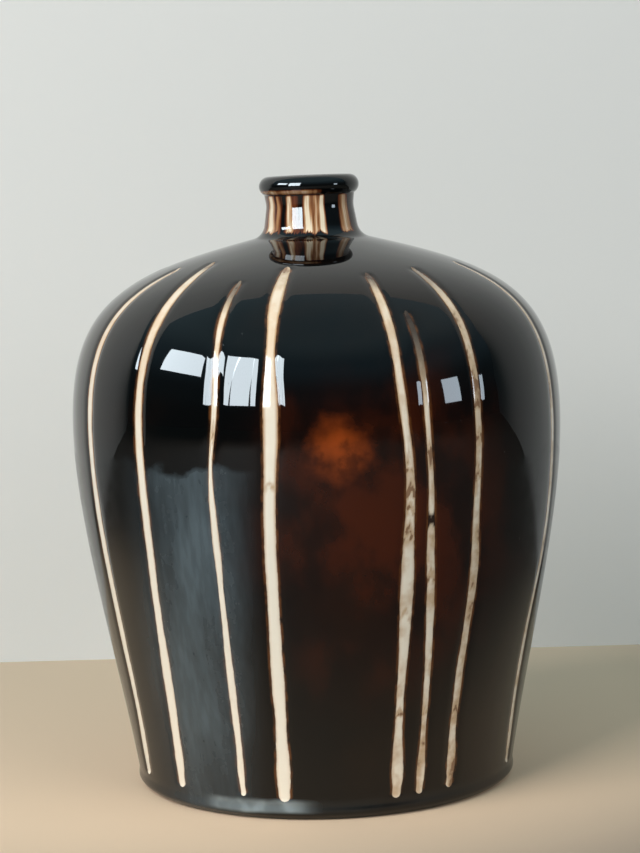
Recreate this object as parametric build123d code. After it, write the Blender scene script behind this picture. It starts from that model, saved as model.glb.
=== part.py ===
from build123d import *
import os
from math import cos, radians, sin, tan

# Meiping vase, thrown as a lower body, a shoulder and a collar neck, luted together.
# Pale slip stripes lie in shallow grooves that cross the joint of body and shoulder.
# Z is the axis of the wheel, the foot ring stands on Z = 0 and the front faces -Y.
# Lengths are millimetres, angles are degrees. Bearings count from the front, rising towards +X.

# Body: radii and heights of the outside line
foot_radius = 87.2
belly_radius = 112.8
root_radius = 33.0
belly_height = 167.0
shoulder_rise = 82.8
neck_rise = 30.2
foot_round = 4.0
foot_flare_deg = 8.2
root_slope_deg = 14.0

# How far each curve leans on its end directions, as shares of its rise
lower_handle_shares = (0.29, 0.285)
dome_handle_shares = (0.675, 0.695)

# Clay: wall, floor, foot ring and the notched joint between the two sections
wall = 6.0
floor = 9.0
floor_round = 14.0
ring_width = 10.0
recess_depth = 2.5
recess_bevel = 1.5
joint_shelf = 1.6
joint_notch = 1.5

# Neck: waist, rolled lip and straight throat
waist_radius = 20.0
waist_drop = 5.0
waist_round = 12.0
root_corner_radius = 22.2
root_fillet = 7.5
lip_radius = 23.0
lip_roll = 4.6
lip_crease_deg = 60.0
throat_radius = 14.5
throat_round = 6.0

# Slip stripes: grooves, slip and the reach of the stripes
groove_depth = 1.0
slip_thickness = 0.6
stripe_width = 5.0
stripe_foot_height = 9.0
stripe_top_drop = 7.0

# Bearing of each stripe at the belly
stripe_bearings_deg = (
    -63.4, -43.0, -24.0, -10.5, 20.2, 25.3, 38.3, 70.8, 96.0,
    113.5, 127.0, 150.5, 163.5, 181.5, 206.5, 222.0, 246.5, 271.0,
)

# How far each stripe starts above the lowest foot and stops below the highest top, in stripe widths
foot_lift_shares = (
    0.50, 0.49, 0.47, 0.32, 0.0, 0.06, 0.13, 0.25, 0.40,
    0.10, 0.36, 0.20, 0.45, 0.05, 0.30, 0.16, 0.42, 0.24,
)
top_drop_shares = (
    0.60, 0.05, 1.45, 0.50, 1.10, 4.20, 0.85, 0.70, 0.30,
    1.20, 0.0, 2.40, 0.55, 0.90, 0.15, 1.80, 0.40, 0.75,
)

# How far the round end of a stripe reaches past its last station, at the foot and at the top
end_round_shares = (0.5, 0.25)

# Where a stripe is measured, from its foot to its top, then its widths and its sideways wander there
station_shares = (0.0, 0.015, 0.10, 0.21, 0.32, 0.43, 0.54, 0.65, 0.76, 0.87, 0.97, 1.0)
stripe_width_shares = (
    (0.80, 1.05, 1.10, 1.05, 1.15, 1.05, 1.10, 1.00, 1.10, 1.00, 0.80, 0.50),
    (0.66, 0.88, 1.02, 1.14, 0.86, 0.84, 0.95, 0.95, 0.90, 0.92, 0.85, 0.40),
    (0.40, 0.50, 0.61, 0.70, 0.59, 0.55, 0.70, 0.36, 0.52, 0.45, 0.52, 0.34),
    (0.78, 1.08, 1.05, 1.12, 1.04, 1.05, 1.08, 1.14, 1.30, 0.74, 1.00, 0.60),
    (0.30, 0.76, 0.83, 0.75, 0.96, 1.23, 0.92, 0.75, 0.68, 0.75, 0.66, 0.45),
    (0.28, 0.60, 0.58, 0.56, 0.69, 0.80, 0.74, 0.50, 0.50, 0.55, 0.50, 0.36),
    (0.30, 0.68, 0.76, 0.78, 0.72, 0.92, 0.74, 0.65, 0.69, 0.72, 0.68, 0.42),
    (0.50, 0.80, 0.90, 0.84, 0.80, 0.95, 1.00, 0.90, 0.82, 0.76, 0.60, 0.40),
    (0.40, 0.62, 0.74, 0.70, 0.88, 0.66, 0.72, 0.80, 0.64, 0.70, 0.58, 0.36),
    (0.72, 0.95, 1.04, 0.98, 0.92, 1.10, 1.05, 0.94, 0.98, 0.84, 0.80, 0.52),
    (0.30, 0.48, 0.60, 0.66, 0.58, 0.52, 0.62, 0.56, 0.44, 0.50, 0.42, 0.28),
    (0.64, 0.88, 0.96, 1.06, 1.12, 0.98, 0.90, 1.08, 1.02, 0.82, 0.70, 0.46),
    (0.36, 0.62, 0.70, 0.60, 0.66, 0.78, 0.74, 0.62, 0.68, 0.72, 0.56, 0.34),
    (0.74, 1.00, 1.10, 1.02, 0.94, 1.08, 1.18, 1.10, 0.96, 0.92, 0.88, 0.56),
    (0.56, 0.78, 0.84, 0.94, 1.00, 0.86, 0.78, 0.84, 0.92, 0.74, 0.66, 0.44),
    (0.34, 0.50, 0.56, 0.62, 0.70, 0.74, 0.58, 0.48, 0.54, 0.60, 0.50, 0.32),
    (0.70, 0.92, 1.04, 1.14, 1.08, 0.96, 0.90, 1.02, 1.06, 0.86, 0.74, 0.50),
    (0.44, 0.70, 0.80, 0.76, 0.70, 0.84, 0.92, 0.78, 0.72, 0.68, 0.60, 0.42),
)
wander_shares = (
    (-1.15, -1.10, -0.58, -0.28, -0.10, 0.0, 0.02, 0.0, -0.18, -0.32, -0.40, -0.45),
    (-1.27, -1.22, -0.98, -0.66, -0.40, -0.12, 0.04, 0.02, -0.10, -0.10, -0.62, -1.15),
    (-0.15, -0.16, -0.10, -0.06, 0.0, 0.06, 0.03, 0.04, 0.50, 0.34, 0.0, -0.05),
    (-0.50, -0.49, -0.40, -0.36, -0.32, -0.27, -0.17, 0.10, 0.24, 0.13, 0.10, 0.18),
    (0.0, 0.03, -0.03, -0.04, 0.03, 0.06, 0.10, 0.06, -0.38, -0.54, -0.45, -0.30),
    (0.68, 0.72, 0.72, 0.73, 0.66, 0.48, 0.23, 0.10, -0.16, -0.24, -0.30, -0.36),
    (-0.08, -0.03, -0.20, -0.25, -0.03, 0.18, -0.10, -0.06, -0.02, 0.12, 0.24, 0.28),
    (-0.05, -0.10, -0.62, -1.05, -0.65, 0.25, 0.25, -0.05, -0.12, 0.08, 0.24, 0.30),
    (0.55, 0.50, 0.40, 0.22, 0.10, 0.14, 0.05, -0.04, -0.12, -0.20, -0.26, -0.22),
    (-0.42, -0.40, -0.30, -0.24, -0.06, 0.02, -0.05, 0.08, 0.20, 0.34, 0.42, 0.46),
    (0.34, 0.32, 0.20, 0.28, 0.12, -0.05, 0.04, 0.0, -0.20, -0.36, -0.48, -0.52),
    (-0.85, -0.80, -0.66, -0.40, -0.28, -0.12, 0.03, 0.10, 0.06, 0.12, 0.20, 0.16),
    (0.20, 0.24, 0.30, 0.12, 0.05, -0.08, -0.03, 0.05, 0.18, 0.26, 0.30, 0.38),
    (0.66, 0.60, 0.44, 0.30, 0.22, 0.08, 0.0, -0.10, -0.22, -0.30, -0.40, -0.44),
    (-0.52, -0.50, -0.44, -0.30, -0.10, 0.06, 0.10, 0.0, -0.05, 0.10, 0.18, 0.24),
    (0.94, 0.88, 0.70, 0.46, 0.32, 0.20, 0.04, -0.06, -0.14, -0.22, -0.28, -0.34),
    (-0.32, -0.30, -0.34, -0.20, -0.05, -0.10, 0.02, 0.12, 0.26, 0.38, 0.46, 0.54),
    (0.42, 0.40, 0.26, 0.30, 0.16, 0.02, -0.06, 0.04, 0.0, -0.12, -0.16, -0.10),
)

# Cutting shapes reach this far past what they cut
overrun = 5.0

# Heights and radii that follow from the sizes above
root_height = belly_height + shoulder_rise
overall_height = root_height + neck_rise
flare = radians(foot_flare_deg)
slope = radians(root_slope_deg)
outer_toe_height = foot_round * (1 - sin(flare))
roll_radius = lip_radius - lip_roll
roll_height = overall_height - lip_roll
lip_inner_round = roll_radius - throat_radius
crease_radius = roll_radius + lip_roll * cos(radians(lip_crease_deg))
crease_height = roll_height - lip_roll * sin(radians(lip_crease_deg))
stripe_top_height = root_height - stripe_top_drop


def root_point(inset):
    """Where the dome ends at the neck, moved into the clay by inset."""
    return Vector(root_radius - inset * sin(slope), root_height - inset * cos(slope))


def wall_line(inset, base, corner):
    """One line of the wall, inset into the clay: the round at its base, lower wall and dome."""
    toe_height = base + corner * (1 - sin(flare))
    lean = (toe_height - outer_toe_height) * tan(flare) - inset / cos(flare)
    toe = Vector(foot_radius + lean, toe_height)
    belly = Vector(belly_radius - inset, belly_height)
    root = root_point(inset)
    toe_reach, belly_reach = (share * (belly.Y - toe.Y) for share in lower_handle_shares)
    dome_reach, root_reach = (share * (root.Y - belly.Y) for share in dome_handle_shares)
    along_toe = Vector(sin(flare), cos(flare))
    along_root = Vector(-cos(slope), sin(slope))
    up = Vector(0, 1)
    base_round = JernArc((toe.X - corner * cos(flare), base), (1, 0), corner, 90 - foot_flare_deg)
    lower = Bezier(base_round @ 1, toe + along_toe * toe_reach, belly - up * belly_reach, belly)
    dome = Bezier(belly, belly + up * dome_reach, root - along_root * root_reach, root)
    return base_round, lower, dome


def closed_face(*lines):
    """Face inside a ring of lines that meet end to end."""
    return make_face([edge for line in lines for edge in line.edges()])


def turned(face):
    """Solid that a section drawn as radius and height sweeps round the axis."""
    return revolve(Plane.XZ * face, axis=Axis.Z)


def inside_of_wall(inset):
    """Everything inside the wall's line at this inset, as one solid."""
    base_round, lower, dome = wall_line(inset, 0, foot_round)
    closing = Polyline(dome @ 1, (0, root_point(inset).Y), (0, 0), base_round @ 0)
    return turned(closed_face(base_round, lower, dome, closing))


def joint_line():
    """Notched joint of the two thrown sections, from the outside of the wall to the inside."""
    shelf = belly_radius - joint_shelf
    ledge = belly_radius - wall + joint_shelf
    return Polyline(
        (belly_radius, belly_height),
        (shelf, belly_height),
        ((shelf + ledge) / 2, belly_height - joint_notch),
        (ledge, belly_height),
        (belly_radius - wall, belly_height),
    )


def lower_section():
    """Foot ring with its recess, floor and wall up to the joint."""
    toe, lower, _ = wall_line(0, 0, foot_round)
    floor_corner, inner_lower, _ = wall_line(wall, floor, floor_round)
    ring_inner = (toe @ 0).X - ring_width
    recess = Polyline(
        (0, floor),
        (0, recess_depth),
        (ring_inner - recess_bevel, recess_depth),
        (ring_inner, 0),
        toe @ 0,
    )
    floor_line = Line((0, floor), floor_corner @ 0)
    return closed_face(recess, toe, lower, joint_line(), inner_lower, floor_corner, floor_line)


def shoulder_section():
    """Dome from the joint up to the bevelled seat of the neck."""
    _, _, dome = wall_line(0, 0, foot_round)
    _, _, inner_dome = wall_line(wall, floor, floor_round)
    return closed_face(joint_line(), dome, Line(root_point(0), root_point(wall)), inner_dome)


def neck_section():
    """Collar with bevelled foot, waist, rolled lip and straight throat."""
    root = root_point(0)
    seat = root_point(wall)
    corner = Vector(root_corner_radius, root.Y + (root_radius - root_corner_radius) * tan(slope))
    waist = Vector(waist_radius, crease_height - waist_drop)
    flank = FilletPolyline(
        root, corner, waist, (crease_radius, crease_height), radius=(root_fillet, waist_round)
    )
    roll = CenterArc((roll_radius, roll_height), lip_roll, -lip_crease_deg, 90 + lip_crease_deg)
    mouth_height = overall_height - lip_inner_round
    mouth = CenterArc((roll_radius, mouth_height), lip_inner_round, 90, 90)
    turn = Vector(throat_radius, seat.Y + (seat.X - throat_radius) * tan(slope))
    throat = FilletPolyline((throat_radius, mouth_height), turn, seat, radius=throat_round)
    return closed_face(flank, roll, mouth, throat, Line(seat, root))


def stripe_outline(heights, centres, widths):
    """Outline of a stripe on a plane facing it: two wandering edges with a round end at foot and top."""
    left = Spline([(centre - width / 2, height) for height, centre, width in zip(heights, centres, widths)])
    right = Spline([(centre + width / 2, height) for height, centre, width in zip(heights, centres, widths)])
    foot_share, top_share = end_round_shares
    foot_tip = (centres[0], heights[0] - foot_share * widths[0])
    top_tip = (centres[-1], heights[-1] + top_share * widths[-1])
    foot_end = ThreePointArc(right @ 0, foot_tip, left @ 0)
    top_end = ThreePointArc(left @ 1, top_tip, right @ 1)
    return closed_face(left, top_end, right, foot_end)


def pushed_out(outline, bearing):
    """Prism that carries an outline from the axis out past the wall at a bearing."""
    angle = radians(bearing)
    outwards = Vector(sin(angle), -cos(angle), 0)
    facing = Plane(origin=(0, 0, 0), x_dir=(cos(angle), sin(angle), 0), z_dir=outwards)
    return extrude(facing * outline, belly_radius + overrun, dir=outwards)


def stripe_prism(number):
    """Prism of one stripe, which cuts its groove and its slip out of the wall."""
    foot = stripe_foot_height + stripe_width * foot_lift_shares[number]
    top = stripe_top_height - stripe_width * top_drop_shares[number]
    heights = [foot + share * (top - foot) for share in station_shares]
    centres = [stripe_width * share for share in wander_shares[number]]
    widths = [stripe_width * share for share in stripe_width_shares[number]]
    return pushed_out(stripe_outline(heights, centres, widths), stripe_bearings_deg[number])


def save(shape, name):
    """Writes one piece under its own name."""
    shape.label = name
    export_step(shape, f"parts/{name}.step")


def main():
    """Turns the clay, lays the slip, cuts its grooves and writes every piece."""
    os.makedirs("parts", exist_ok=True)

    groove_bed = inside_of_wall(groove_depth)
    slip_level = inside_of_wall(groove_depth - slip_thickness)
    grooves = []
    for number in range(len(stripe_bearings_deg)):
        groove = stripe_prism(number) - groove_bed
        save(groove & slip_level, f"stripe_{number + 1:02d}")
        grooves.append(stripe_prism(number) - groove_bed)

    save(turned(lower_section()) - grooves, "lower_body")
    save(turned(shoulder_section()) - grooves, "shoulder")
    save(turned(neck_section()), "neck")


main()
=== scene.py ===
"""Looks of a dark-glazed meiping vase with slip stripes: wall, neck, stripes, studio and camera."""

import logging
import math
from dataclasses import dataclass, field
from enum import Enum
from typing import Callable

import bpy
from mathutils import Euler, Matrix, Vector, noise


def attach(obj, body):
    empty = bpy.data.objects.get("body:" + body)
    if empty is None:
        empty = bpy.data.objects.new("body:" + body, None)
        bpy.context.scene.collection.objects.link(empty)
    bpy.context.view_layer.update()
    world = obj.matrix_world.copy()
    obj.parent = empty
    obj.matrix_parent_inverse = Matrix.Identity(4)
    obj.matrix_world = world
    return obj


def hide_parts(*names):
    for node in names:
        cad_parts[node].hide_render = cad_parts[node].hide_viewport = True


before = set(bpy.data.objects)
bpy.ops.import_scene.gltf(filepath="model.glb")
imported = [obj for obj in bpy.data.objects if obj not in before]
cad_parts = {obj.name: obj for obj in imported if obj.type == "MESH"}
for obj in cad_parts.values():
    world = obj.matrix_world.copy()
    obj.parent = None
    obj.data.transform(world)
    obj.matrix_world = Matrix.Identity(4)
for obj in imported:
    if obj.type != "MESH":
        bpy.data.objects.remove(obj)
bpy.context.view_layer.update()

log = logging.getLogger("vase")

MM = 0.001
TURN = 2 * math.pi
BODY = "root"
MERGE_DISTANCE = 1e-7
SMOOTH_ANGLE = math.radians(38)

Point = tuple[float, float]
Colour = tuple[float, float, float]


class Slot(Enum):
    """Material slots of the record."""

    GLAZE = "glazed_stoneware"
    SLIP = "slip"


class Mark(Enum):
    """Names of the values that the meshes carry for their finishes."""

    HALO = "halo"
    STAIN = "stain"
    COVER = "cover"
    ACROSS = "across"
    # Slip runs on the neck, with painted shade at the crease and a painted highlight under the lip's roll.
    RUN = "run"


class LampUse(Enum):
    """What a lamp is for: the reflections in the glaze, or plain light on every surface."""

    REFLECTION = "reflection"
    LIGHT = "light"


def smooth_step(low: float, high: float, value: float) -> float:
    """Eases a value from 0 at low to 1 at high.

    Args:
        low: value that gives 0.
        high: value that gives 1, above or below low.
        value: value to ease.

    Returns:
        The eased share, from 0 to 1.
    """
    share = min(max((value - low) / (high - low), 0.0), 1.0)
    return share * share * (3 - 2 * share)


def at_bearing(radius: float, bearing: float, height: float) -> Vector:
    """Places a point by its radius, its bearing from the front in radians and its height."""
    return Vector((radius * math.sin(bearing), -radius * math.cos(bearing), height))


def bearing_of(point: Vector) -> float:
    """Bearing of a point from the front, in radians, rising towards +X."""
    return math.atan2(point.x, -point.y)


def arc_points(centre: Point, radius: float, start_deg: float, end_deg: float, steps: int) -> list[Point]:
    """Points of an arc in the section plane.

    Args:
        centre: radius and height of the arc's centre.
        radius: radius of the arc.
        start_deg: angle of its first point.
        end_deg: angle of its last point.
        steps: number of spans.

    Returns:
        The points, both ends included.
    """
    points = []
    for step in range(steps + 1):
        angle = math.radians(start_deg + (end_deg - start_deg) * step / steps)
        points.append((centre[0] + radius * math.cos(angle), centre[1] + radius * math.sin(angle)))
    return points


def rounded_corner(before: Point, corner: Point, after: Point, radius: float, steps: int) -> list[Point]:
    """Rounds the corner between two straight runs with a tangent arc.

    Args:
        before: a point on the first run.
        corner: the corner.
        after: a point on the second run.
        radius: radius of the arc.
        steps: number of spans of the arc.

    Returns:
        The points of the arc, from the first run to the second.
    """
    middle = Vector(corner)
    back = (Vector(before) - middle).normalized()
    onward = (Vector(after) - middle).normalized()
    half = back.angle(onward) / 2
    centre = middle + (back + onward).normalized() * radius / math.sin(half)
    start = middle + back * radius / math.tan(half) - centre
    end = middle + onward * radius / math.tan(half) - centre
    sweep = math.atan2(start.x * end.y - start.y * end.x, start.dot(end))
    first = math.atan2(start.y, start.x)
    return arc_points(centre.to_tuple(), radius, math.degrees(first), math.degrees(first + sweep), steps)


def line_points(start: Point, end: Point, steps: int) -> list[Point]:
    """Points along a straight line, its first end included and its last left out."""
    return [
        (start[0] + (end[0] - start[0]) * step / steps, start[1] + (end[1] - start[1]) * step / steps)
        for step in range(steps)
    ]


def deselect_all() -> None:
    """Leaves object mode with nothing selected."""
    if bpy.context.object is not None and bpy.context.object.mode != "OBJECT":
        bpy.ops.object.mode_set(mode="OBJECT")
    bpy.ops.object.select_all(action="DESELECT")


def take_up(piece: bpy.types.Object) -> None:
    """Selects one piece alone and makes it active."""
    deselect_all()
    piece.select_set(True)
    bpy.context.view_layer.objects.active = piece


def edit_whole(piece: bpy.types.Object) -> None:
    """Enters edit mode on one piece with all of its mesh selected."""
    take_up(piece)
    bpy.ops.object.mode_set(mode="EDIT")
    bpy.ops.mesh.select_all(action="SELECT")


def apply_modifiers(piece: bpy.types.Object) -> None:
    """Applies every modifier of a piece, in order."""
    take_up(piece)
    for modifier in list(piece.modifiers):
        bpy.ops.object.modifier_apply(modifier=modifier.name)


def finish_mesh(piece: bpy.types.Object, name: str) -> None:
    """Merges doubles, turns the faces outwards and shades a piece smooth.

    Args:
        piece: the piece.
        name: name for the piece and its mesh.
    """
    edit_whole(piece)
    bpy.ops.mesh.remove_doubles(threshold=MERGE_DISTANCE)
    bpy.ops.mesh.dissolve_degenerate(threshold=MERGE_DISTANCE)
    bpy.ops.mesh.select_all(action="SELECT")
    bpy.ops.mesh.normals_make_consistent(inside=False)
    bpy.ops.object.mode_set(mode="OBJECT")
    bpy.ops.object.shade_smooth_by_angle(angle=SMOOTH_ANGLE)
    piece.name = name
    piece.data.name = name


def store_marks(piece: bpy.types.Object, mark: Mark, values: list[float]) -> None:
    """Stores one value a vertex on a piece, for its finish to read."""
    layer = piece.data.attributes.new(mark.value, "FLOAT", "POINT")
    layer.data.foreach_set("value", values)


def spun_section(section: list[Point], steps: int) -> bpy.types.Object:
    """Turns a closed section round the axis, with each vertex marked by its row.

    Args:
        section: points of the section as radius and height, in order round its ring.
        steps: number of columns round the axis.

    Returns:
        The turned piece, whose first column lies on +X.
    """
    deselect_all()
    bpy.ops.mesh.primitive_circle_add(vertices=len(section), radius=1, location=(0, 0, 0))
    piece = bpy.context.object
    rows = piece.data.attributes.new("row", "INT", "POINT")
    for number, (vertex, (radius, height)) in enumerate(zip(piece.data.vertices, section)):
        vertex.co = (radius, 0, height)
        rows.data[number].value = number
    edit_whole(piece)
    bpy.ops.mesh.spin(steps=steps, angle=TURN, center=(0, 0, 0), axis=(0, 0, 1))
    bpy.ops.mesh.select_all(action="SELECT")
    bpy.ops.mesh.remove_doubles(threshold=MERGE_DISTANCE)
    bpy.ops.object.mode_set(mode="OBJECT")
    return piece


@dataclass(frozen=True)
class WallPoint:
    """A point of the outer wall line: radius, height and the direction out of the clay."""

    radius: float
    height: float
    out_radius: float
    out_height: float

    def sunk(self, depth: float) -> Point:
        """Radius and height of the point this deep in the wall."""
        return self.radius - depth * self.out_radius, self.height - depth * self.out_height


@dataclass(frozen=True)
class WallLine:
    """Outside line of the thrown wall, as its maker's ribs leave it, in metres."""

    foot_radius: float = 87.2 * MM
    belly_radius: float = 112.8 * MM
    root_radius: float = 33.0 * MM
    belly_height: float = 167.0 * MM
    root_height: float = 249.8 * MM
    foot_round: float = 4.0 * MM
    flare: float = math.radians(8.2)
    slope: float = math.radians(14.0)
    lower_handle_shares: tuple[float, float] = (0.29, 0.285)
    dome_handle_shares: tuple[float, float] = (0.675, 0.695)

    def controls(self, inset: float, base: float, corner: float, dome: bool) -> list[Vector]:
        """Control points of one curve of the wall, inset into the clay.

        Args:
            inset: how deep in the clay the curve runs.
            base: height at which its base round starts.
            corner: radius of its base round.
            dome: True for the dome, False for the lower wall.

        Returns:
            The four control points, as radius and height.
        """
        belly = Vector((self.belly_radius - inset, self.belly_height))
        if dome:
            root = Vector((
                self.root_radius - inset * math.sin(self.slope),
                self.root_height - inset * math.cos(self.slope),
            ))
            rise = root.y - belly.y
            start_reach, end_reach = (share * rise for share in self.dome_handle_shares)
            along = Vector((-math.cos(self.slope), math.sin(self.slope)))
            return [belly, belly + Vector((0, start_reach)), root - along * end_reach, root]
        outer_toe = self.foot_round * (1 - math.sin(self.flare))
        toe_height = base + corner * (1 - math.sin(self.flare))
        lean = (toe_height - outer_toe) * math.tan(self.flare) - inset / math.cos(self.flare)
        toe = Vector((self.foot_radius + lean, toe_height))
        rise = belly.y - toe.y
        start_reach, end_reach = (share * rise for share in self.lower_handle_shares)
        along = Vector((math.sin(self.flare), math.cos(self.flare)))
        return [toe, toe + along * start_reach, belly - Vector((0, end_reach)), belly]

    def curve_point(self, controls: list[Vector], share: float) -> WallPoint:
        """Point of a curve, with its direction out of the clay.

        Args:
            controls: the curve's four control points.
            share: how far along the curve, from 0 to 1.

        Returns:
            The point.
        """
        first, second, third, last = controls
        rest = 1 - share
        place = (first * rest**3 + second * 3 * rest**2 * share
                 + third * 3 * rest * share**2 + last * share**3)
        along = ((second - first) * rest**2 + (third - second) * 2 * rest * share
                 + (last - third) * share**2).normalized()
        return WallPoint(place.x, place.y, along.y, -along.x)

    def outside(self, height: float) -> WallPoint:
        """Point of the outer wall at a height, above the base round."""
        controls = self.controls(0, 0, self.foot_round, height > self.belly_height)
        low, high = 0.0, 1.0
        for _ in range(26):
            middle = (low + high) / 2
            if self.curve_point(controls, middle).height < height:
                low = middle
            else:
                high = middle
        return self.curve_point(controls, low)


class StripeOutline:
    """Both edges of one slip stripe, read from its CAD node."""

    def __init__(self, node: str, number: int) -> None:
        """Reads the node's edges at even heights.

        Args:
            node: name of the CAD node.
            number: the stripe's number, which makes its hand wobble its own.
        """
        self.number = number
        self.step = 0.5 * MM
        self.foot_ease = 1.6 * MM
        self.top_ease = 1.1 * MM
        self.blunt_reach = 5.0 * MM
        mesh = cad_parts[node].data
        middle = sum((vertex.co for vertex in mesh.vertices), Vector()) / len(mesh.vertices)
        self.bearing = bearing_of(middle)
        self.low = min(vertex.co.z for vertex in mesh.vertices)
        self.high = max(vertex.co.z for vertex in mesh.vertices)
        self.count = int((self.high - self.low) / self.step)
        lefts, rights = self._read(mesh)
        self.lefts = self._settled(lefts)
        self.rights = self._settled(rights)

    def _read(self, mesh: bpy.types.Mesh) -> tuple[list[float], list[float]]:
        """Finds the lowest and highest bearing of the node's section at each height.

        Args:
            mesh: the node's mesh.

        Returns:
            The left and the right bearings, from the centre of the stripe, in radians.
        """
        lefts = [math.inf] * (self.count + 1)
        rights = [-math.inf] * (self.count + 1)
        mesh.calc_loop_triangles()
        for triangle in mesh.loop_triangles:
            corners = [mesh.vertices[index].co for index in triangle.vertices]
            for start, end in zip(corners, corners[1:] + corners[:1]):
                if start.z > end.z:
                    start, end = end, start
                rise = end.z - start.z
                if rise == 0:
                    continue
                first = math.ceil((start.z - self.low) / self.step)
                last = math.floor((end.z - self.low) / self.step)
                for station in range(max(first, 0), min(last, self.count) + 1):
                    share = (self.low + station * self.step - start.z) / rise
                    turn = bearing_of(start.lerp(end, min(max(share, 0), 1))) - self.bearing
                    turn = (turn + math.pi) % TURN - math.pi
                    lefts[station] = min(lefts[station], turn)
                    rights[station] = max(rights[station], turn)
        for values in (lefts, rights):
            for station in range(1, len(values)):
                if math.isinf(values[station]):
                    values[station] = values[station - 1]
        return lefts, rights

    @staticmethod
    def _settled(values: list[float]) -> list[float]:
        """Evens out the facets of an edge, with its ends as they are."""
        reach = 4
        settled = []
        for station in range(len(values)):
            near = min(reach, station, len(values) - 1 - station)
            window = values[station - near:station + near + 1]
            settled.append(sum(window) / len(window))
        return settled

    def _sample(self, values: list[float], height: float) -> float:
        """Value of an edge at any height, straight between its stations."""
        place = min(max((height - self.low) / self.step, 0), self.count - 1e-6)
        station = int(place)
        return values[station] + (values[station + 1] - values[station]) * (place - station)

    def _wobble(self, height: float, side: int) -> float:
        """How far the maker's hand strays at one edge, in metres."""
        slow = noise.noise(Vector((self.number * 3.7, height / (14 * MM), side * 5.1)))
        quick = noise.noise(Vector((self.number * 9.1, height / (3.5 * MM), side * 2.3)))
        return slow * 0.30 * MM + quick * 0.12 * MM

    def _blunting(self, turn: float, height: float, radius: float) -> float:
        """How far each edge stands out at the foot tip, to end it as round as a full brush does.

        Args:
            turn: angle between the two edges at this height.
            height: where along the stripe.
            radius: radius of the wall there.

        Returns:
            The angle to add at each edge, in radians.
        """
        above = height - self.low
        if not 0 < above < self.blunt_reach:
            return 0.0
        full_height = self.low + self.blunt_reach
        full = self._sample(self.rights, full_height) - self._sample(self.lefts, full_height)
        share = min(2 * above / (full * radius), 1)
        return max(full * math.sqrt(1 - (1 - share) ** 2) - turn, 0) / 2

    def edges(self, height: float, radius: float) -> Point:
        """Left and right bearing of the stripe.

        Args:
            height: where along the stripe.
            radius: radius of the wall there.

        Returns:
            Both bearings from the front, in radians.
        """
        left = self._sample(self.lefts, height)
        right = self._sample(self.rights, height)
        grow = self._blunting(right - left, height, radius)
        left, right = left - grow, right + grow
        hand = min((right - left) * radius / (3 * MM), 1) * self.presence(height, radius)
        left += self._wobble(height, 0) * hand / radius
        right += self._wobble(height, 1) * hand / radius
        return self.bearing + left, self.bearing + right

    def presence(self, height: float, radius: float) -> float:
        """How fully the stripe is there at a height: 1 along it, 0 past its tips."""
        if not self.low < height < self.high:
            return 0.0
        width = (self._sample(self.rights, height) - self._sample(self.lefts, height)) * radius
        ends = smooth_step(0, self.foot_ease, height - self.low) * smooth_step(0, self.top_ease, self.high - height)
        return smooth_step(0, 2.2 * MM, width) * ends


@dataclass(frozen=True)
class GlazeRelief:
    """How the glaze lies round the stripes: shallow valleys with the slip at their bottom."""

    valley_depth: float = 0.42 * MM
    valley_reach: float = 3.2 * MM
    bed_depth: float = 0.95 * MM
    least_half_width: float = 0.35 * MM
    gap_share: float = 0.45
    inside_spans: int = 4
    valley_spans: int = 5
    gap_span: float = 3.0 * MM

    def falloff(self, share: float) -> float:
        """Depth of the valley as a share of its full depth, from a stripe's edge outwards."""
        return (1 - share) ** 2 * (1 + 2 * share)


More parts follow.
